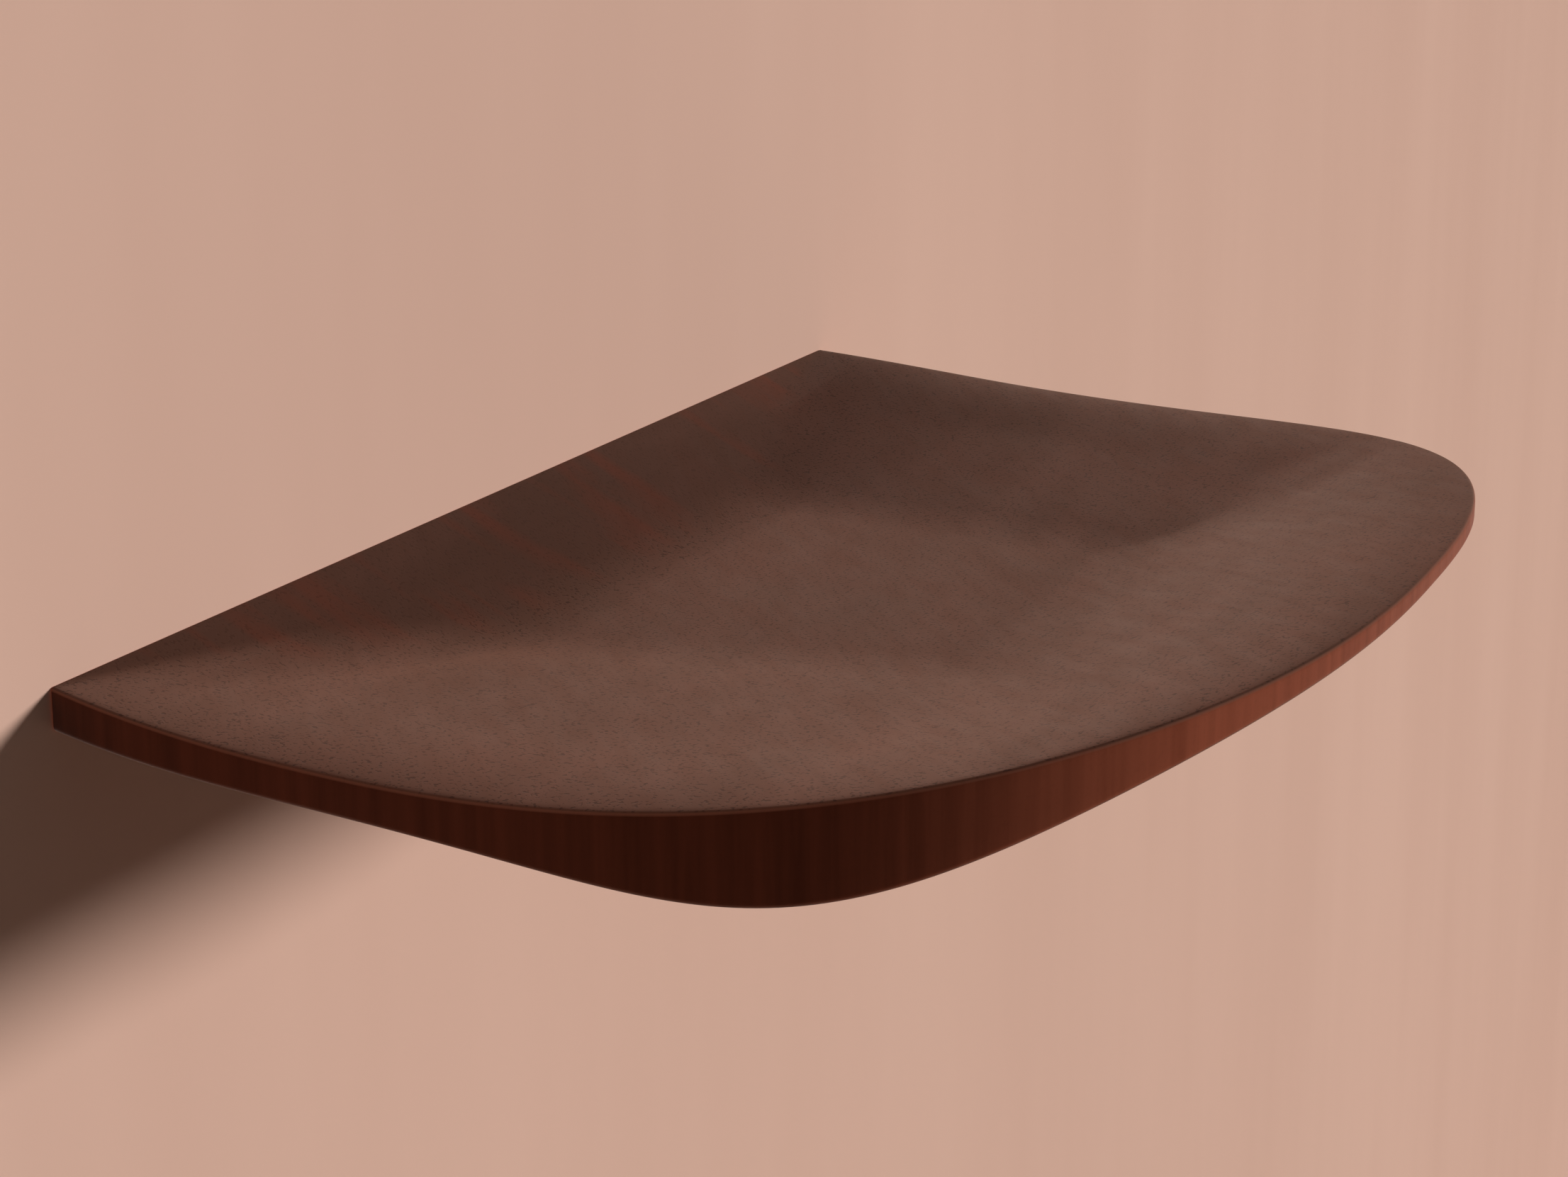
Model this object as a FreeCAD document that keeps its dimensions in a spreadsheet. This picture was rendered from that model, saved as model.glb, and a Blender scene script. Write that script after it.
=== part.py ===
import FreeCAD
import Part
import Sketcher
import math
import os

# Wall-hung trinket shelf: a carved board with a rounded front and a sunk dish, on two hidden pins.
# X runs along the wall, Y points into the wall and Z points up.
# The origin lies on the wall, midway between the two pins.

V = FreeCAD.Vector
doc = FreeCAD.newDocument("TrinketShelf")

# Driving dimensions, in millimetres except where a power or a slope is named
SIZES = [
    ("shelf_width", 300.0),
    ("shelf_depth", 163.5),
    ("widest_depth", 43.5),
    ("outline_power", 2.5),
    ("dish_depth", 13.2),
    ("rim_sag", 7.4),
    ("floor_back", 25.0),
    ("floor_front", 104.0),
    ("floor_width_at_back", 115.0),
    ("floor_width_at_front", 86.0),
    ("shortest_slope", 30.0),
    ("slope_fullness", 1.3),
    ("foot_blend", 10.0),
    ("crease_blend", 4.0),
    ("corner_blend", 3.0),
    ("edge_at_wall", 6.2),
    ("edge_at_front", 1.6),
    ("edge_swell", 10.8),
    ("swell_depth", 111.5),
    ("swell_spread", 38.0),
    ("side_bevel_slope", 0.26),
    ("front_bevel_slope", 0.50),
    ("bevel_turn_power", 4.0),
    ("bevel_blend", 3.0),
    ("base_thickness", 13.0),
    ("pin_spacing", 100.0),
    ("pin_diameter", 6.0),
    ("pin_reach", 70.0),
    ("pin_chamfer", 0.8),
    ("bore_clearance", 0.1),
    ("bore_end_room", 2.0),
    ("collar_diameter", 11.0),
    ("collar_thickness", 2.5),
    ("screw_diameter", 5.0),
    ("screw_length", 36.0),
    ("screw_point", 5.0),
    ("tool_room", 9.0),
    ("grid_step", 6.0),
]

sheet = doc.addObject("Spreadsheet::Sheet", "Sizes")
for row, (alias, value) in enumerate(SIZES, start=1):
    sheet.set("A%d" % row, alias)
    sheet.set("B%d" % row, str(value))
    sheet.setAlias("B%d" % row, alias)
doc.recompute()

size = {alias: float(sheet.get(alias)) for alias, _ in SIZES}
half_width = size["shelf_width"] / 2
shelf_depth = size["shelf_depth"]

# Heights: the pins run through the middle of the wood under the dish floor
floor_height = size["base_thickness"] / 2
base_height = -size["base_thickness"] / 2
top_height = floor_height + size["dish_depth"]

# The crease under the back slope sharpens towards the back edge, which stays straight
CREASE_SHARE = 0.8
LEAST_DEPTH = 0.01

# The surfaces' points stand closer together near the wall, where the slopes meet
GRID_CROWDING = 1.5

# Points on each half of the outline, and halvings in the search for an outline's edge
OUTLINE_STEPS = 20
SEARCH_STEPS = 30


def half_width_at(depth):
    """Half the width of the outline, part of a superellipse, at a distance from the wall."""
    offset = (max(depth, 0.0) - size["widest_depth"]) / (shelf_depth - size["widest_depth"])
    fullness = max(1 - abs(offset) ** size["outline_power"], 0.0)
    return half_width * fullness ** (1 / size["outline_power"])


def outline_depth_at(x):
    """How far the outline stands out from the wall at a distance from the middle line."""
    fullness = max(1 - (abs(x) / half_width) ** size["outline_power"], 0.0)
    return size["widest_depth"] + (shelf_depth - size["widest_depth"]) * fullness ** (1 / size["outline_power"])


def floor_half_width_at(depth):
    """Half the width of the flat dish floor, which narrows to the front."""
    share = (depth - size["floor_back"]) / (size["floor_front"] - size["floor_back"])
    share = min(max(share, 0.0), 1.0)
    return (size["floor_width_at_back"] * (1 - share) + size["floor_width_at_front"] * share) / 2


def in_outline(x, depth):
    return depth <= shelf_depth and abs(x) <= half_width_at(depth)


def reach(inside, start_depth, step_x, step_depth):
    """How far a ray from a point on the middle line stays inside an outline."""
    near = 0.0
    far = half_width + shelf_depth
    for _ in range(SEARCH_STEPS):
        middle = (near + far) / 2
        if inside(step_x * middle, start_depth + step_depth * middle):
            near = middle
        else:
            far = middle
    return near


def blended_ramp(rise, blend):
    """Zero below the start, straight above it, with a parabola in between."""
    if rise <= -blend:
        return 0.0
    if rise >= blend:
        return rise
    return (rise + blend) ** 2 / (4 * blend)


def rim_height(depth):
    """The rim dips in a shallow wave between the wall and the front."""
    return top_height - size["rim_sag"] * math.sin(math.pi * depth / shelf_depth)


def edge_thickness(depth):
    """The side is a thin edge that swells at mid-depth."""
    share = depth / shelf_depth
    plain = size["edge_at_wall"] * (1 - share) + size["edge_at_front"] * share
    offset = (depth - size["swell_depth"]) / size["swell_spread"]
    return plain + size["edge_swell"] * math.exp(-offset ** 2)


def slope_rise(rim_rise, distance, run):
    """Rise of a slope from its soft foot on the floor to the rim, where it levels out."""
    share = blended_ramp(distance, size["foot_blend"]) / max(run, size["shortest_slope"])
    return rim_rise * (1 - (1 - min(share, 1.0)) ** size["slope_fullness"])


def slope_height(x, depth):
    """The gentle slopes at the sides and the front, which meet in a soft crease at each front corner."""
    side_rim = rim_height(min(max(depth, 0.0), shelf_depth)) - floor_height
    floor_reach = floor_half_width_at(depth)
    side = slope_rise(side_rim, abs(x) - floor_reach, half_width_at(depth) - floor_reach)
    front_depth = outline_depth_at(x)
    front_rim = rim_height(front_depth) - floor_height
    front = slope_rise(front_rim, depth - size["floor_front"], front_depth - size["floor_front"])
    share = min(max(side, front) / side_rim, 1.0)
    blend = max(4 * size["corner_blend"] * share * (1 - share), LEAST_DEPTH)
    return floor_height + front + blended_ramp(side - front, blend)


def dish_height(x, depth):
    """The slopes and the floor, with the steep back slope running down into them."""
    back_slope = size["dish_depth"] / size["floor_back"]
    back = top_height - back_slope * depth
    front = slope_height(x, depth)
    blend = min(size["crease_blend"], CREASE_SHARE * back_slope * max(depth, LEAST_DEPTH))
    return front + blended_ramp(back - front, blend)


def underside_height(x, depth):
    """Bevels that climb from below the flat base to the lower edge of the side."""
    distance = max(math.hypot(x, depth), LEAST_DEPTH)
    step_x = x / distance
    step_depth = abs(depth) / distance
    edge_reach = reach(in_outline, 0.0, step_x, step_depth)
    edge_depth = step_depth * edge_reach
    edge = rim_height(edge_depth) - edge_thickness(edge_depth)
    steepening = size["front_bevel_slope"] - size["side_bevel_slope"]
    slope = size["side_bevel_slope"] + steepening * step_depth ** size["bevel_turn_power"]
    bevel = edge - slope * (edge_reach - distance)
    lowest = base_height - size["bevel_blend"]
    return lowest + blended_ramp(bevel - lowest, size["bevel_blend"])


def surface_through(height):
    """A smooth face through the heights over the whole outline and a margin round it."""
    margin = size["tool_room"]
    across = 2 * (half_width + margin)
    deep = shelf_depth + 2 * margin
    columns = math.ceil(across / size["grid_step"])
    rows = math.ceil(deep / size["grid_step"])
    points = []
    for column in range(columns + 1):
        x = across * (column / columns - 0.5)
        line = []
        for row in range(rows + 1):
            depth = deep * (row / rows) ** GRID_CROWDING - margin
            line.append(V(x, -depth, height(x, depth)))
        points.append(line)
    surface = Part.BSplineSurface()
    surface.interpolate(points)
    return surface.toShape()


def outline_face(height):
    """The shelf seen from above: a straight back and one long curve round the sides and the front."""
    widest_share = size["widest_depth"] / (shelf_depth - size["widest_depth"])
    start = math.asin(widest_share ** (size["outline_power"] / 2))
    half = []
    for step in range(OUTLINE_STEPS + 1):
        angle = (math.pi / 2 + start) * step / OUTLINE_STEPS - start
        bulge = math.copysign(abs(math.sin(angle)) ** (2 / size["outline_power"]), angle)
        depth = max(size["widest_depth"] + (shelf_depth - size["widest_depth"]) * bulge, 0.0)
        half.append(V(half_width_at(depth), -depth, height))
    mirrored = [V(-point.x, point.y, point.z) for point in reversed(half[:-1])]
    curve = Part.BSplineCurve()
    curve.interpolate(half + mirrored)
    back = Part.LineSegment(mirrored[-1], half[0])
    return Part.Face(Part.Wire([curve.toShape(), back.toShape()]))


def feature(name, shape):
    item = doc.addObject("Part::Feature", name)
    item.Shape = shape
    return item


def cut(name, base, tool):
    item = doc.addObject("Part::Cut", name)
    item.Base = base
    item.Tool = tool
    return item


def bore(name, side, radius, depth):
    """A round hole into the back, at the left pin for side -1 and the right pin for side 1."""
    item = doc.addObject("Part::Cylinder", name)
    item.Placement = FreeCAD.Placement(V(0, 0, 0), FreeCAD.Rotation(V(1, 0, 0), 90))
    item.setExpression("Radius", radius)
    item.setExpression("Height", depth + " + Sizes.tool_room")
    item.setExpression(".Placement.Base.x", "%d * Sizes.pin_spacing / 2" % side)
    item.setExpression(".Placement.Base.y", "Sizes.tool_room")
    return item


def plane(body, role):
    return next(item for item in body.Origin.OriginFeatures if item.Role == role)


def length(terms):
    """The number that a sum of sheet sizes, each with a factor, comes to."""
    return sum(factor * size[alias] for alias, factor in terms.items())


def formula(terms):
    """The same sum as an expression on the sheet."""
    return " + ".join("(%g) * Sizes.%s" % (factor, alias) for alias, factor in terms.items())


def sketch_of(body, name, corners):
    """A closed outline whose corners are sums of sheet sizes, on the body's XY plane."""
    sketch = body.newObject("Sketcher::SketchObject", name)
    sketch.AttachmentSupport = [(plane(body, "XY_Plane"), "")]
    sketch.MapMode = "FlatFace"
    points = [V(length(across), length(along), 0) for across, along in corners]
    count = len(points)
    for index in range(count):
        sketch.addGeometry(Part.LineSegment(points[index], points[(index + 1) % count]), False)
    for index in range(count):
        sketch.addConstraint(Sketcher.Constraint("Coincident", index, 2, (index + 1) % count, 1))
    for index, (across, along) in enumerate(corners):
        bind(sketch, index, "DistanceX", across, -2)
        bind(sketch, index, "DistanceY", along, -1)
    return sketch


def bind(sketch, index, kind, terms, axis):
    """Holds one corner at its distance from the origin, or on the axis where that is nothing."""
    if not terms:
        sketch.addConstraint(Sketcher.Constraint("PointOnObject", index, 1, axis))
        return
    constraint = Sketcher.Constraint(kind, -1, 1, index, 1, length(terms))
    number = sketch.addConstraint(constraint)
    sketch.setExpression("Constraints[%d]" % number, formula(terms))


def turned_body(name, side, corners):
    """A round piece on the axis of the left or the right pin."""
    body = doc.addObject("PartDesign::Body", name)
    profile = sketch_of(body, name + "_profile", corners)
    turn = body.newObject("PartDesign::Revolution", name + "_turn")
    turn.Profile = profile
    turn.ReferenceAxis = (profile, ["V_Axis"])
    turn.Angle = 360
    body.setExpression(".Placement.Base.x", "%d * Sizes.pin_spacing / 2" % side)
    return body


# Carved shelf: a sawn blank, its dish, its bevelled underside and the holes for the pins
blank_height = top_height - base_height + size["tool_room"]
tool_lift = V(0, 0, 2 * blank_height)
blank = feature("blank", outline_face(base_height).extrude(V(0, 0, blank_height)))
dish_tool = feature("dish_tool", surface_through(dish_height).extrude(tool_lift))
bevel_tool = feature("bevel_tool", surface_through(underside_height).extrude(-tool_lift))
dished = cut("dished", blank, dish_tool)
bevelled = cut("bevelled", dished, bevel_tool)
SIDES = (("left", -1), ("right", 1))
bores = []
for word, side in SIDES:
    pin_radius = "Sizes.pin_diameter / 2 + Sizes.bore_clearance"
    bores.append(bore("pin_bore_" + word, side, pin_radius, "Sizes.pin_reach + Sizes.bore_end_room"))
    collar_radius = "Sizes.collar_diameter / 2 + Sizes.bore_clearance"
    bores.append(bore("collar_seat_" + word, side, collar_radius, "Sizes.collar_thickness"))
pin_holes = doc.addObject("Part::MultiFuse", "pin_holes")
pin_holes.Shapes = bores
parts = [cut("shelf_body", bevelled, pin_holes)]

# Support pins: a smooth rod in the shelf, a collar against the wall and a screw into it
PIN_CORNERS = [
    ({}, {"pin_reach": -1}),
    ({"pin_diameter": 0.5, "pin_chamfer": -1}, {"pin_reach": -1}),
    ({"pin_diameter": 0.5}, {"pin_reach": -1, "pin_chamfer": 1}),
    ({"pin_diameter": 0.5}, {"collar_thickness": -1}),
    ({"collar_diameter": 0.5}, {"collar_thickness": -1}),
    ({"collar_diameter": 0.5}, {}),
    ({"screw_diameter": 0.5}, {}),
    ({"screw_diameter": 0.5}, {"screw_length": 1, "screw_point": -1}),
    ({}, {"screw_length": 1}),
]
for word, side in SIDES:
    parts.append(turned_body("support_pin_" + word, side, PIN_CORNERS))

doc.recompute()

# Every object is sound and every piece is one valid solid before anything is written
for item in doc.Objects:
    if "Invalid" in item.State or "Error" in item.State:
        raise RuntimeError("%s failed: %s" % (item.Name, item.State))
for item in parts:
    if item.Shape.isNull() or not item.Shape.isValid() or len(item.Shape.Solids) != 1:
        raise RuntimeError("%s is not one valid solid" % item.Label)

os.makedirs("parts", exist_ok=True)
for item in parts:
    item.Shape.exportStep("parts/%s.step" % item.Label)
    box = item.Shape.optimalBoundingBox()
    print("%s: volume %.0f, %.1f x %.1f x %.1f" % (
        item.Label, item.Shape.Volume, box.XLength, box.YLength, box.ZLength))
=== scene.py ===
import math

import bpy
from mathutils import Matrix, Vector
from mathutils.geometry import tessellate_polygon


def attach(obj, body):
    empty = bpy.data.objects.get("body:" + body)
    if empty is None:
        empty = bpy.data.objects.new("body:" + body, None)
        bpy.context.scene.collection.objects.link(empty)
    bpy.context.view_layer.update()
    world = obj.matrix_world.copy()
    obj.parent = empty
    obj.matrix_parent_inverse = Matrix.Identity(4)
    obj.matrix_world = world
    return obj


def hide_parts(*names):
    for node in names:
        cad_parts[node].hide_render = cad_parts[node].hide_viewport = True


# A carved wooden trinket shelf on a wall, held by two hidden steel pins
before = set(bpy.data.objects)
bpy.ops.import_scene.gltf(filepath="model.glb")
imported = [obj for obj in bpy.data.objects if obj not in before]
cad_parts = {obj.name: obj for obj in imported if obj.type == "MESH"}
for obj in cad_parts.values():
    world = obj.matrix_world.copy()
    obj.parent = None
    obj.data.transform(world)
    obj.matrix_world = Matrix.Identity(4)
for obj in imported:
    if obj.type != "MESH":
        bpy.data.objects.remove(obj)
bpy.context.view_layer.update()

# Sizes of the carved board in millimetres, the same as in the CAD source
HALF_WIDTH = 150.0
DEPTH = 163.5
WIDEST_DEPTH = 43.5
OUTLINE_POWER = 2.5
DISH_DEPTH = 13.2
RIM_SAG = 7.4
FLOOR_BACK = 25.0
FLOOR_FRONT = 104.0
FLOOR_WIDTH_AT_BACK = 115.0
FLOOR_WIDTH_AT_FRONT = 86.0
SHORTEST_SLOPE = 30.0
SLOPE_FULLNESS = 1.3
FOOT_BLEND = 10.0
CREASE_BLEND = 4.0
CREASE_SHARE = 0.8
CORNER_BLEND = 3.0
LEAST_BLEND = 0.01
EDGE_AT_WALL = 6.2
EDGE_AT_FRONT = 1.6
EDGE_SWELL = 10.8
SWELL_DEPTH = 111.5
SWELL_SPREAD = 38.0
SIDE_BEVEL_SLOPE = 0.26
FRONT_BEVEL_SLOPE = 0.50
BEVEL_TURN_POWER = 4.0
BASE_THICKNESS = 13.0
BASE_BLEND = 1.5
PIN_X = 50.0
COLLAR_SEAT_RADIUS = 5.6
COLLAR_SEAT_DEPTH = 2.5
BORE_RADIUS = 3.1
BORE_DEPTH = 72.0

# Rounding of the sanded arrises, and the slight roll of the top inside the rim
ARRIS = 0.8
ARRIS_SHARE = 0.4
ROLL = 0.45
ROLL_WIDTH = 45.0
ROLL_CREST = 27 / 4  # brings the highest point of the roll's curve to 1

# Fineness of the mesh
ARRIS_STEPS = 5
BAND_STEPS = 4
TURNS = 400
CROWDING_AT_WALL = 0.08
TOP_RINGS = 120
BASE_RINGS = 70
HOLE_STEPS = 40
REACH_HALVINGS = 32
SHARP_ANGLE = math.radians(38)

FLOOR = BASE_THICKNESS / 2
BASE = -BASE_THICKNESS / 2
TOP = FLOOR + DISH_DEPTH
MM = 0.001


def half_width_at(depth):
    offset = (max(depth, 0.0) - WIDEST_DEPTH) / (DEPTH - WIDEST_DEPTH)
    fullness = max(1 - abs(offset) ** OUTLINE_POWER, 0.0)
    return HALF_WIDTH * fullness ** (1 / OUTLINE_POWER)


def outline_depth_at(x):
    fullness = max(1 - (abs(x) / HALF_WIDTH) ** OUTLINE_POWER, 0.0)
    return WIDEST_DEPTH + (DEPTH - WIDEST_DEPTH) * fullness ** (1 / OUTLINE_POWER)


def floor_half_width_at(depth):
    share = min(max((depth - FLOOR_BACK) / (FLOOR_FRONT - FLOOR_BACK), 0.0), 1.0)
    return (FLOOR_WIDTH_AT_BACK * (1 - share) + FLOOR_WIDTH_AT_FRONT * share) / 2


def in_outline(x, depth):
    return depth <= DEPTH and abs(x) <= half_width_at(depth)


def reach(inside, start_depth, step_x, step_depth):
    near, far = 0.0, HALF_WIDTH + DEPTH
    for _ in range(REACH_HALVINGS):
        middle = (near + far) / 2
        if inside(step_x * middle, start_depth + step_depth * middle):
            near = middle
        else:
            far = middle
    return near


def blended_ramp(rise, blend):
    if rise <= -blend:
        return 0.0
    if rise >= blend:
        return rise
    return (rise + blend) ** 2 / (4 * blend)


def rim_height(depth):
    return TOP - RIM_SAG * math.sin(math.pi * depth / DEPTH)


def edge_thickness(depth):
    share = depth / DEPTH
    plain = EDGE_AT_WALL * (1 - share) + EDGE_AT_FRONT * share
    return plain + EDGE_SWELL * math.exp(-((depth - SWELL_DEPTH) / SWELL_SPREAD) ** 2)


def slope_rise(rim_rise, distance, run):
    share = blended_ramp(distance, FOOT_BLEND) / max(run, SHORTEST_SLOPE)
    return rim_rise * (1 - (1 - min(share, 1.0)) ** SLOPE_FULLNESS)


def slope_height(x, depth):
    side_rim = rim_height(depth) - FLOOR
    floor_reach = floor_half_width_at(depth)
    side = slope_rise(side_rim, abs(x) - floor_reach, half_width_at(depth) - floor_reach)
    front_depth = outline_depth_at(x)
    front_rim = rim_height(front_depth) - FLOOR
    front = slope_rise(front_rim, depth - FLOOR_FRONT, front_depth - FLOOR_FRONT)
    share = min(max(side, front) / side_rim, 1.0)
    blend = max(4 * CORNER_BLEND * share * (1 - share), LEAST_BLEND)
    return FLOOR + front + blended_ramp(side - front, blend)


def dish_height(x, depth):
    back_slope = DISH_DEPTH / FLOOR_BACK
    back = TOP - back_slope * depth
    front = slope_height(x, depth)
    blend = min(CREASE_BLEND, CREASE_SHARE * back_slope * max(depth, LEAST_BLEND))
    return front + blended_ramp(back - front, blend)


def rolled_rim(distance, edge_reach, depth):
    """The top swells a little inside the rim and rolls down to it, but stays straight at the wall."""
    share = (edge_reach - distance) / ROLL_WIDTH
    if share >= 1:
        return 0.0
    return ROLL * ROLL_CREST * share * (1 - share) ** 2 * min(depth / ROLL_WIDTH, 1.0)


def underside_height(distance, edge_reach, step_depth):
    edge_depth = step_depth * edge_reach
    edge = rim_height(edge_depth) - edge_thickness(edge_depth)
    slope = SIDE_BEVEL_SLOPE + (FRONT_BEVEL_SLOPE - SIDE_BEVEL_SLOPE) * step_depth ** BEVEL_TURN_POWER
    bevel = edge - slope * (edge_reach - distance)
    return BASE + blended_ramp(bevel - BASE, BASE_BLEND)


def rounded_corner(start, corner, end):
    points = []
    for step in range(1, ARRIS_STEPS):
        t = step / ARRIS_STEPS
        points.append(tuple((1 - t) ** 2 * a + 2 * t * (1 - t) * b + t ** 2 * c
                            for a, b, c in zip(start, corner, end)))
    return points


def section(angle):
    """Points (distance, height) of one upright cut, from the top middle over the edge to the base middle."""
    step_x, step_depth = math.cos(angle), max(math.sin(angle), 0.0)
    edge_reach = reach(in_outline, 0.0, step_x, step_depth)
    edge_depth = step_depth * edge_reach
    rim = rim_height(edge_depth)
    thick = edge_thickness(edge_depth)
    cut = min(ARRIS, ARRIS_SHARE * thick)
    inner = edge_reach - cut
    points = []
    for ring in range(1, TOP_RINGS + 1):
        distance = inner * ring / TOP_RINGS
        height = dish_height(step_x * distance, step_depth * distance)
        points.append((distance, height + rolled_rim(distance, edge_reach, step_depth * distance)))
    upper, lower = (edge_reach, rim - cut), (edge_reach, rim - thick + cut)
    points += rounded_corner(points[-1], (edge_reach, rim), upper)
    for step in range(BAND_STEPS + 1):
        t = step / BAND_STEPS
        points.append((edge_reach, upper[1] * (1 - t) + lower[1] * t))
    under = (inner, underside_height(inner, edge_reach, step_depth))
    points += rounded_corner(lower, (edge_reach, rim - thick), under)
    for ring in range(BASE_RINGS, 0, -1):
        distance = inner * ring / BASE_RINGS
        points.append((distance, underside_height(distance, edge_reach, step_depth)))
    return points


def turn_angle(turn):
    """The cuts stand closer together next to the wall, where the slopes meet."""
    share = turn / TURNS
    return math.pi * (share - CROWDING_AT_WALL * math.sin(2 * math.pi * share))


def carved_board():
    verts, faces = [], []
    rows = []
    for turn in range(TURNS + 1):
        angle = turn_angle(turn)
        step_x, step_depth = math.cos(angle), max(math.sin(angle), 0.0)
        if turn == TURNS:
            step_depth = 0.0
        row = []
        for distance, height in section(angle):
            row.append(len(verts))
            verts.append((step_x * distance, -step_depth * distance, height))
        rows.append(row)
    top_middle, base_middle = len(verts), len(verts) + 1
    verts += [(0.0, 0.0, TOP), (0.0, 0.0, BASE)]
    for first, second in zip(rows, rows[1:]):
        faces.append((top_middle, second[0], first[0])[::-1])
        for index in range(len(first) - 1):
            faces.append((first[index], second[index], second[index + 1], first[index + 1])[::-1])
        faces.append((base_middle, second[-1], first[-1]))
    # The flat back with the two holes for the pins
    outline = [top_middle] + rows[0] + [base_middle] + rows[-1][::-1]
    loops = [outline]
    bores = []
    for side in (-1, 1):
        rings = []
        for radius, depth in ((COLLAR_SEAT_RADIUS, 0.0), (COLLAR_SEAT_RADIUS, COLLAR_SEAT_DEPTH),
                              (BORE_RADIUS, COLLAR_SEAT_DEPTH), (BORE_RADIUS, BORE_DEPTH)):
            ring = []
            for step in range(HOLE_STEPS):
                turn = 2 * math.pi * step / HOLE_STEPS
                ring.append(len(verts))
                verts.append((side * PIN_X + radius * math.cos(turn), -depth, radius * math.sin(turn)))
            rings.append(ring)
        loops.append(rings[0])
        bores.append(rings)
    flat = [index for loop in loops for index in loop]
    for triangle in tessellate_polygon([[Vector(verts[index]) for index in loop] for loop in loops]):
        corners = [flat[index] for index in triangle]
        a, b, c = (Vector(verts[index]) for index in corners)
        faces.append(corners if (b - a).cross(c - a).y > 0 else corners[::-1])
    for rings in bores:
        for outer, inner in zip(rings, rings[1:]):
            for step in range(HOLE_STEPS):
                after = (step + 1) % HOLE_STEPS
                faces.append((outer[step], outer[after], inner[after], inner[step]))
        faces.append(rings[-1])
    mesh = bpy.data.meshes.new("carved_board")
    mesh.from_pydata([(x * MM, y * MM, z * MM) for x, y, z in verts], [], faces)
    mesh.validate()
    for polygon in mesh.polygons:
        polygon.use_smooth = True
    mesh.set_sharp_from_angle(angle=SHARP_ANGLE)
    board = bpy.data.objects.new("carved_board", mesh)
    bpy.context.scene.collection.objects.link(board)
    return board


class Shader:
    """A short way to write a node material."""

    def __init__(self, name):
        self.material = bpy.data.materials.new(name)
        self.material.use_nodes = True
        self.tree = self.material.node_tree
        self.tree.nodes.clear()
        self.output = self.node("ShaderNodeOutputMaterial")
        self.coordinates = self.node("ShaderNodeTexCoord").outputs["Object"]

    def node(self, kind, **settings):
        made = self.tree.nodes.new(kind)
        for name, value in settings.items():
            setattr(made, name, value)
        return made

    def feed(self, value, socket):
        if isinstance(value, bpy.types.NodeSocket):
            self.tree.links.new(value, socket)
        else:
            socket.default_value = value

    def scaled(self, source, scale, turn=(0.0, 0.0, 0.0)):
        made = self.node("ShaderNodeMapping")
        self.feed(source, made.inputs["Vector"])
        made.inputs["Scale"].default_value = scale
        made.inputs["Rotation"].default_value = turn
        return made.outputs["Vector"]

    def noise(self, source, scale, detail=3.0, roughness=0.55, distortion=0.0):
        made = self.node("ShaderNodeTexNoise")
        self.feed(source, made.inputs["Vector"])
        made.inputs["Scale"].default_value = scale
        made.inputs["Detail"].default_value = detail
        made.inputs["Roughness"].default_value = roughness
        made.inputs["Distortion"].default_value = distortion
        return made.outputs["Fac"]

    def grain(self, source, stretch, detail, roughness=0.55, distortion=0.0):
        """Noise with its own scale along each axis."""
        return self.noise(self.scaled(source, stretch), 1.0, detail, roughness, distortion)

    def span(self, value, low, high, to_low=0.0, to_high=1.0):
        made = self.node("ShaderNodeMapRange", clamp=True)
        self.feed(value, made.inputs["Value"])
        for name, number in (("From Min", low), ("From Max", high), ("To Min", to_low), ("To Max", to_high)):
            made.inputs[name].default_value = number
        return made.outputs["Result"]

    def maths(self, operation, first, second=0.0):
        made = self.node("ShaderNodeMath", operation=operation)
        self.feed(first, made.inputs[0])
        self.feed(second, made.inputs[1])
        return made.outputs["Value"]

    def blend(self, factor, first, second, kind="MIX"):
        made = self.node("ShaderNodeMix", data_type="RGBA", blend_type=kind, clamp_factor=True)
        self.feed(factor, made.inputs["Factor"])
        self.feed(first, made.inputs["A"])
        self.feed(second, made.inputs["B"])
        return next(socket for socket in made.outputs if socket.type == "RGBA")

    def bump(self, height, strength, distance):
        made = self.node("ShaderNodeBump")
        made.inputs["Strength"].default_value = strength
        made.inputs["Distance"].default_value = distance
        self.feed(height, made.inputs["Height"])
        return made.outputs["Normal"]

    def surface(self, color, roughness, normal=None, **constants):
        made = self.node("ShaderNodeBsdfPrincipled")
        self.feed(color, made.inputs["Base Color"])
        self.feed(roughness, made.inputs["Roughness"])
        if normal is not None:
            self.feed(normal, made.inputs["Normal"])
        for name, value in constants.items():
            made.inputs[name.replace("_", " ")].default_value = value
        self.tree.links.new(made.outputs["BSDF"], self.output.inputs["Surface"])
        return self.material


# The wood's tones, and how far each mark covers the ground. The top's tones are greyer than the edge's: a painted
# sheen for the gloss on the top faces
BAND_TONES = (0.122, 0.0560, 0.0370, 1), (0.148, 0.0690, 0.0475, 1)
LINE_TONE, LINE_SHARE = (0.097, 0.0435, 0.0285, 1), 0.25
CLOUD_TONE, CLOUD_SHARE = (0.160, 0.0610, 0.0390, 1), 0.30
FLAME_TONE, FLAME_SHARE = (0.215, 0.054, 0.028, 1), 0.45
EDGE_TONES = (0.200, 0.0535, 0.0280, 1), (0.252, 0.0705, 0.0380, 1)
BROAD_TONE, BROAD_SHARE = (0.285, 0.0830, 0.0450, 1), 0.4
# Darker end-grain tones, partly painted shade on the edge
END_GRAIN_AND_SHADE_TONES = (0.064, 0.0180, 0.0095, 1), (0.092, 0.0256, 0.0134, 1)
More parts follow.
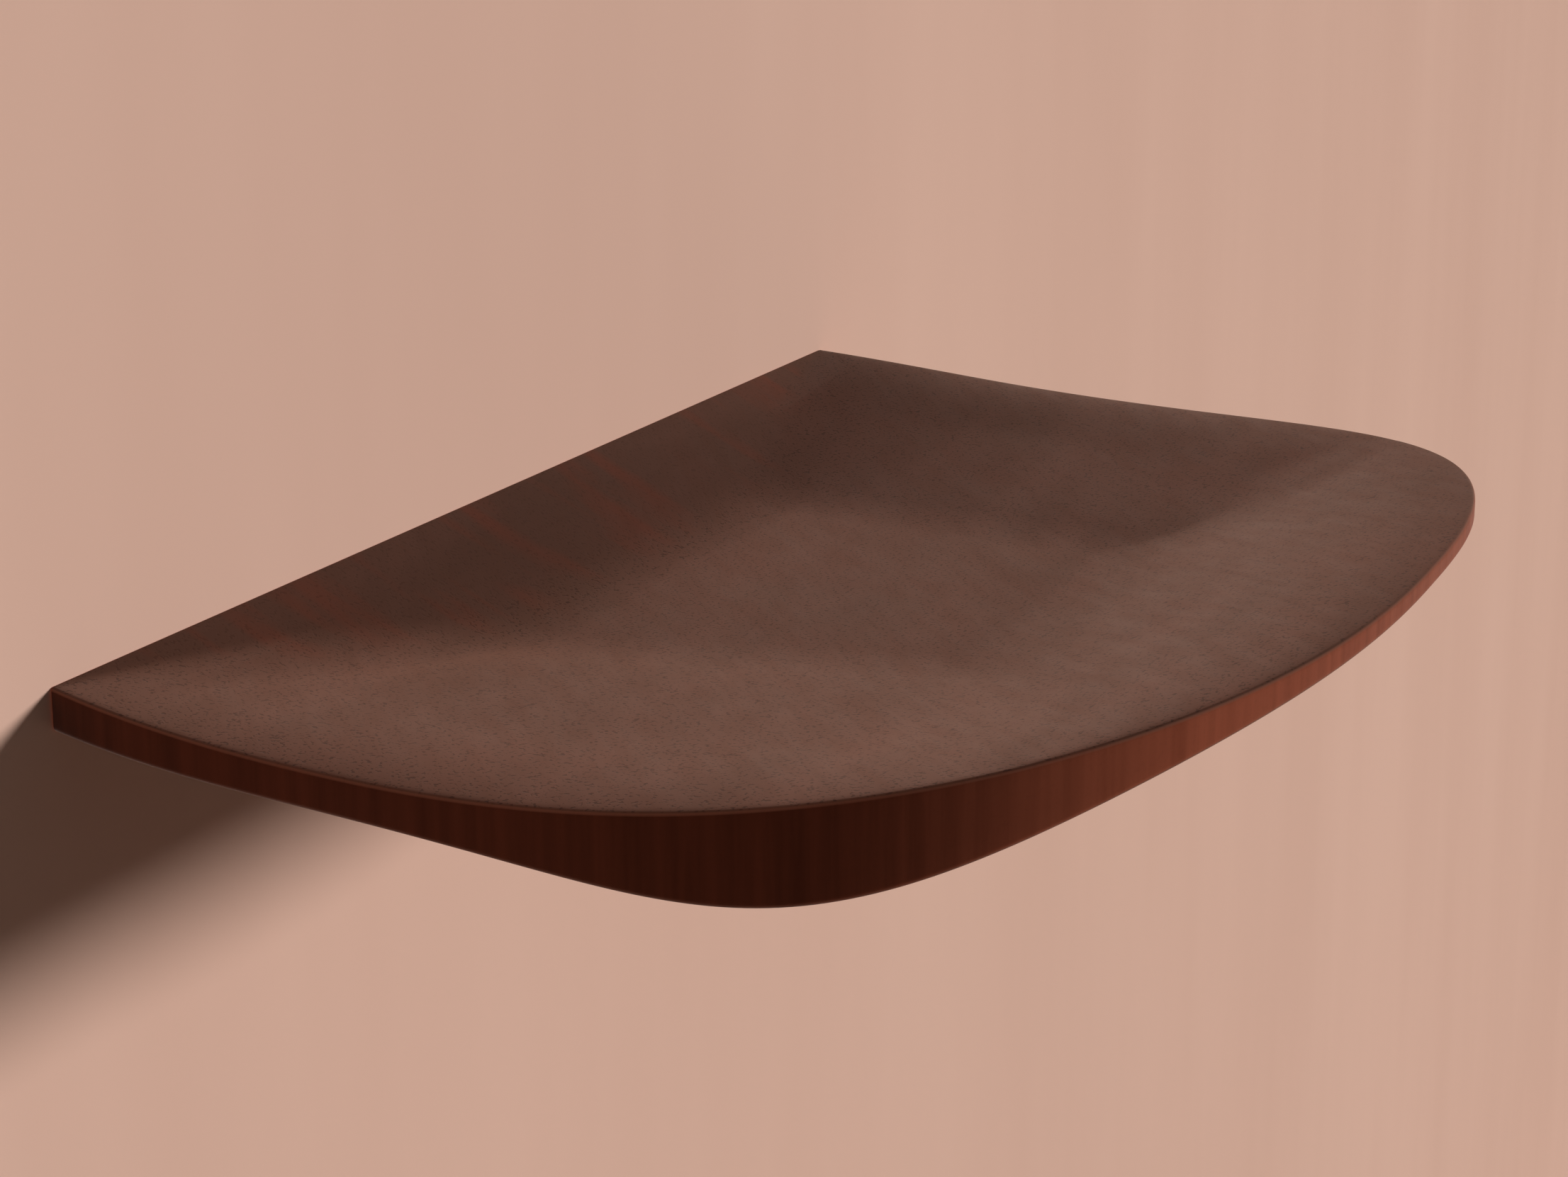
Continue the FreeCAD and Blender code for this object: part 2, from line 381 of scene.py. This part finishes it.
# Paler tone painted on the upper arris as a highlight
ARRIS_HIGHLIGHT_TONE, ARRIS_HIGHLIGHT_SHARE = (0.270, 0.1080, 0.0700, 1), 0.42
PORE_TONE = (0.030, 0.0120, 0.0080, 1)
PORE_SCALE = 1550.0
LINE_TURN = -0.62
LINE_RELIEF = 0.3


def oiled_hardwood():
    """Dark reddish-brown hardwood, its grain along the wall, with open pores and a satin oil finish."""
    wood = Shader("oiled_hardwood")
    place = wood.coordinates
    aslant = wood.scaled(place, (1.0, 1.0, 1.0), (0.0, 0.0, LINE_TURN))
    facing = wood.node("ShaderNodeSeparateXYZ")
    wood.feed(wood.node("ShaderNodeNewGeometry").outputs["Normal"], facing.inputs["Vector"])
    along, outward, upward = (facing.outputs[axis] for axis in "XYZ")
    flatness = wood.maths("ABSOLUTE", upward)
    upright = wood.span(flatness, 0.25, 0.75, 1.0, 0.0)
    # Soft tone bands lie along the wall, and faint lines cross them aslant
    bands = wood.grain(place, (16.0, 80.0, 80.0), 3.0, distortion=0.3)
    slant = wood.grain(aslant, (45.0, 560.0, 45.0), 2.0, roughness=0.5)
    color = wood.blend(wood.span(bands, 0.32, 0.68), *BAND_TONES)
    lines = wood.span(slant, 0.45, 0.70, 0.0, LINE_SHARE)
    lines = wood.maths("MULTIPLY", wood.span(bands, 0.38, 0.62), lines)
    color = wood.blend(lines, color, LINE_TONE)
    # Slow reddish clouds
    clouds = wood.grain(place, (15.0, 11.0, 11.0), 2.0)
    color = wood.blend(wood.span(clouds, 0.50, 0.75, 0.0, CLOUD_SHARE), color, CLOUD_TONE)
    # Reddish figure that runs down the steep slope at the back
    steep = wood.span(outward, -0.44, -0.24, 1.0, 0.0)
    flames = wood.grain(place, (120.0, 30.0, 30.0), 2.0, roughness=0.5, distortion=0.15)
    flames = wood.span(flames, 0.52, 0.72, 0.0, FLAME_SHARE)
    color = wood.blend(wood.maths("MULTIPLY", steep, flames), color, FLAME_TONE)
    # Upright streaks on the sawn edge, fine and broad
    fine = wood.grain(place, (420.0, 420.0, 22.0), 3.0, roughness=0.6)
    broad = wood.grain(place, (95.0, 95.0, 8.0), 2.0, roughness=0.5)
    edge = wood.blend(wood.span(fine, 0.33, 0.67), *EDGE_TONES)
    edge = wood.blend(wood.span(broad, 0.4, 0.7, 0.0, BROAD_SHARE), edge, BROAD_TONE)
    # End grain, which drinks more oil, shows where the edge cuts across the grain; this darkening is partly
    # painted shade on the edge where it turns to face along the wall
    end_grain_and_shade = wood.span(wood.maths("ABSOLUTE", along), 0.40, 0.85)
    dark_end_and_shade = wood.blend(wood.span(fine, 0.3, 0.7), *END_GRAIN_AND_SHADE_TONES)
    edge = wood.blend(end_grain_and_shade, edge, dark_end_and_shade)
    # The greyer top tones, with their painted sheen, go on the level faces, and the redder edge tones go on the
    # upright edge
    color = wood.blend(upright, color, edge)
    # Painted highlight: the upper arris is painted a little paler, as if light caught it
    arris = wood.span(upward, 0.70, 0.85, 1.0, 0.0)
    arris = wood.maths("MULTIPLY", wood.span(upward, 0.20, 0.45), arris)
    color = wood.blend(wood.maths("MULTIPLY", arris, ARRIS_HIGHLIGHT_SHARE), color, ARRIS_HIGHLIGHT_TONE)
    # Pores: fine dark specks, mostly where the wood lies level
    pores = wood.grain(place, (PORE_SCALE, PORE_SCALE, PORE_SCALE), 1.0, roughness=0.5)
    level = wood.span(flatness, 0.84, 0.97, 0.05, 0.55)
    specks = wood.maths("MULTIPLY", wood.span(pores, 0.57, 0.67), level)
    color = wood.blend(specks, color, PORE_TONE)
    # The lines stand up a little, and the pores are sunk
    rough = wood.span(wood.grain(aslant, (60.0, 260.0, 60.0), 2.0), 0.3, 0.7, 0.42, 0.48)
    relief = wood.maths("SUBTRACT", wood.maths("MULTIPLY", slant, LINE_RELIEF), specks)
    return wood.surface(color, rough, wood.bump(relief, 0.25, 0.0001), IOR=1.5, Specular_IOR_Level=0.03)


def zinc_plated_steel():
    """Turned rod, zinc plated, with fine tool rings round its axis."""
    steel = Shader("zinc_plated_steel")
    rings = steel.grain(steel.coordinates, (40.0, 5200.0, 40.0), 2.0, roughness=0.6)
    haze = steel.noise(steel.coordinates, 260.0)
    color = steel.blend(steel.span(haze, 0.3, 0.7), (0.56, 0.57, 0.60, 1), (0.68, 0.69, 0.70, 1))
    rough = steel.span(rings, 0.3, 0.7, 0.26, 0.42)
    return steel.surface(color, rough, steel.bump(rings, 0.2, 0.00005), Metallic=1.0)


def seen_plainly(tree):
    """1 for a ray from the camera, straight or by way of gloss or glass, and 0 for light on matte faces."""
    path = tree.nodes.new("ShaderNodeLightPath")
    total = path.outputs["Is Camera Ray"]
    for kind in ("Is Glossy Ray", "Is Transmission Ray"):
        either = tree.nodes.new("ShaderNodeMath")
        either.operation = "MAXIMUM"
        tree.links.new(total, either.inputs[0])
        tree.links.new(path.outputs[kind], either.inputs[1])
        total = either.outputs["Value"]
    return total


def pale_board(name, light, dark):
    """Plain pale paint for the wall and the floor, which is clear when it is seen from its hidden side."""
    pale = Shader(name)
    cloud = pale.grain(pale.coordinates, (7.0, 7.0, 1.2), 4.0, roughness=0.6)
    color = pale.blend(pale.span(cloud, 0.3, 0.7), dark, light)
    pale.surface(color, 0.85, Specular_IOR_Level=0.0)
    surface = pale.output.inputs["Surface"].links[0].from_socket
    clear = pale.node("ShaderNodeBsdfTransparent")
    choice = pale.node("ShaderNodeMixShader")
    pale.feed(pale.node("ShaderNodeNewGeometry").outputs["Backfacing"], choice.inputs["Fac"])
    pale.tree.links.new(surface, choice.inputs[1])
    pale.tree.links.new(clear.outputs["BSDF"], choice.inputs[2])
    pale.tree.links.new(choice.outputs["Shader"], pale.output.inputs["Surface"])
    return pale.material


def sheet(name, corners, material):
    mesh = bpy.data.meshes.new(name)
    mesh.from_pydata(corners, [], [tuple(range(len(corners)))])
    mesh.materials.append(material)
    made = bpy.data.objects.new(name, mesh)
    bpy.context.scene.collection.objects.link(made)
    return made


def sun(name, from_wall, lift, spread, strength, color):
    """A far lamp, placed by degrees out from the wall's right-hand end and degrees above level."""
    out, up = math.radians(from_wall), math.radians(lift)
    data = bpy.data.lights.new(name, "SUN")
    data.angle = math.radians(spread)
    data.energy = strength
    data.color = color
    made = bpy.data.objects.new(name, data)
    shine = Vector((-math.cos(up) * math.cos(out), math.cos(up) * math.sin(out), -math.sin(up)))
    made.rotation_euler = shine.to_track_quat("-Z", "Y").to_euler()
    made.visible_glossy = False
    bpy.context.scene.collection.objects.link(made)
    return made


def grouped(name, pieces):
    group = bpy.data.collections.new(name)
    for piece in pieces:
        group.objects.link(piece)
    return group


def only_on(light, name, receivers, shaded_by=None):
    light.light_linking.receiver_collection = grouped(name, receivers)
    if shaded_by:
        light.light_linking.blocker_collection = grouped(name + "_shade", shaded_by)


def lamp(name, place, target, size, watts, color):
    data = bpy.data.lights.new(name, "AREA")
    data.shape = "DISK"
    data.size = size
    data.energy = watts
    data.color = color
    made = bpy.data.objects.new(name, data)
    made.location = place
    made.rotation_euler = (Vector(target) - Vector(place)).to_track_quat("-Z", "Y").to_euler()
    bpy.context.scene.collection.objects.link(made)
    return made


# The carved board stands for the CAD solid, with its arrises rounded
board = carved_board()
board.data.materials.append(oiled_hardwood())
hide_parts("shelf_body")
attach(board, "root")

steel = zinc_plated_steel()
PIN_NAMES = ("support_pin_left", "support_pin_right")
for name in PIN_NAMES:
    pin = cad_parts[name]
    pin.data.materials.clear()
    pin.data.materials.append(steel)

# Wall and floor, in metres
WALL_GAP = 0.0003
WALL_LEFT, WALL_RIGHT, WALL_TOP = -3, 4, 2
FLOOR_LEFT, FLOOR_RIGHT, FLOOR_NEAR, FLOOR_FAR = -4, 5, -4, 4
FLOOR_LEVEL = -0.9
wall_paint = pale_board("pale_wall", (0.640, 0.435, 0.345, 1), (0.600, 0.400, 0.315, 1))
floor_paint = pale_board("pale_floor", (0.70, 0.66, 0.62, 1), (0.66, 0.62, 0.58, 1))
paint = next(node for node in floor_paint.node_tree.nodes if node.type == "BSDF_PRINCIPLED")
paint.inputs["Emission Color"].default_value = (0.46, 0.41, 0.37, 1)
floor_paint.node_tree.links.new(seen_plainly(floor_paint.node_tree), paint.inputs["Emission Strength"])
wall = sheet("wall", [(WALL_LEFT, WALL_GAP, FLOOR_LEVEL), (WALL_RIGHT, WALL_GAP, FLOOR_LEVEL),
                      (WALL_RIGHT, WALL_GAP, WALL_TOP), (WALL_LEFT, WALL_GAP, WALL_TOP)], wall_paint)
floor = sheet("floor", [(FLOOR_LEFT, FLOOR_NEAR, FLOOR_LEVEL), (FLOOR_RIGHT, FLOOR_NEAR, FLOOR_LEVEL),
                        (FLOOR_RIGHT, FLOOR_FAR, FLOOR_LEVEL), (FLOOR_LEFT, FLOOR_FAR, FLOOR_LEVEL)], floor_paint)
# The wall isn't seen in the wood's gloss
wall.visible_glossy = False
stage_pieces = [wall, floor]
shelf_pieces = [board] + [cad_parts[name] for name in PIN_NAMES]

# Light for the wall and floor
wall_light = sun("wall_light", from_wall=57, lift=7.5, spread=11, strength=3.1, color=(1.0, 0.95, 0.94))
only_on(wall_light, "stage_lit", stage_pieces)
# Low light along the wall, which shows the dish. It comes from a little behind the wall, which doesn't block it
window = sun("window", from_wall=-8, lift=8.2, spread=6, strength=8.0, color=(1.0, 0.93, 0.88))
only_on(window, "shelf_lit", shelf_pieces, shelf_pieces)
# Light for the front edge, and a faint one for the left edge
front_fill = sun("front_fill", from_wall=55, lift=-8, spread=20, strength=4.2, color=(1.0, 0.95, 0.92))
only_on(front_fill, "edge_lit", shelf_pieces)
left_fill = sun("left_fill", from_wall=178, lift=-4, spread=30, strength=0.3, color=(1.0, 0.93, 0.88))
only_on(left_fill, "left_edge_lit", shelf_pieces)
# Lights that only make gloss: along the dish, and on the rim
GLOSS_COLOR = (1.0, 0.72, 0.58)
for gloss in (sun("sheen", from_wall=-23, lift=7, spread=16, strength=0.06, color=GLOSS_COLOR),
              sun("rim_sheen", from_wall=45, lift=44, spread=30, strength=1.0, color=GLOSS_COLOR)):
    gloss.visible_glossy = True
    gloss.visible_diffuse = False
    only_on(gloss, gloss.name + "_on", shelf_pieces, shelf_pieces)
# Light for the back of the part
lamp("behind", place=(-0.5, 1.4, 0.8), target=(0.0, 0.0, 0.0), size=1.0, watts=10.0, color=(1.0, 0.98, 0.96))

# The world lights the part a little, and looks pale behind it
world = bpy.data.worlds.new("studio")
world.use_nodes = True
nodes, links = world.node_tree.nodes, world.node_tree.links
ambient = nodes["Background"]
ambient.inputs["Color"].default_value = (1.0, 0.93, 0.89, 1)
ambient.inputs["Strength"].default_value = 0.06
backdrop = nodes.new("ShaderNodeBackground")
backdrop.inputs["Color"].default_value = (0.52, 0.45, 0.40, 1)
seen = nodes.new("ShaderNodeMixShader")
links.new(seen_plainly(world.node_tree), seen.inputs["Fac"])
links.new(ambient.outputs["Background"], seen.inputs[1])
links.new(backdrop.outputs["Background"], seen.inputs[2])
links.new(seen.outputs["Shader"], nodes["World Output"].inputs["Surface"])
bpy.context.scene.world = world

# Camera at the photograph's place: the frame is 2212 pixels wide and 4600 pixels from the eye
IMAGE_WIDTH = 2212
EYE_DISTANCE = 4600
EYE_PLACE = (-0.50951, -0.25888, (124.82 + TOP) * MM)
SENSOR_WIDTH = 36.0
PITCH = math.radians(14.25)
ALONG_WALL = math.radians(22.24)
camera_data = bpy.data.cameras.new("camera")
camera_data.sensor_width = SENSOR_WIDTH
camera_data.lens = SENSOR_WIDTH * EYE_DISTANCE / IMAGE_WIDTH
camera_data.clip_start = 0.01
camera = bpy.data.objects.new("camera", camera_data)
camera.location = EYE_PLACE
level_view = math.cos(PITCH)
forward = Vector((level_view * math.cos(ALONG_WALL), level_view * math.sin(ALONG_WALL), -math.sin(PITCH)))
camera.rotation_euler = forward.to_track_quat("-Z", "Y").to_euler()
bpy.context.scene.collection.objects.link(camera)
bpy.context.scene.camera = camera
bpy.context.scene.view_settings.view_transform = "Standard"
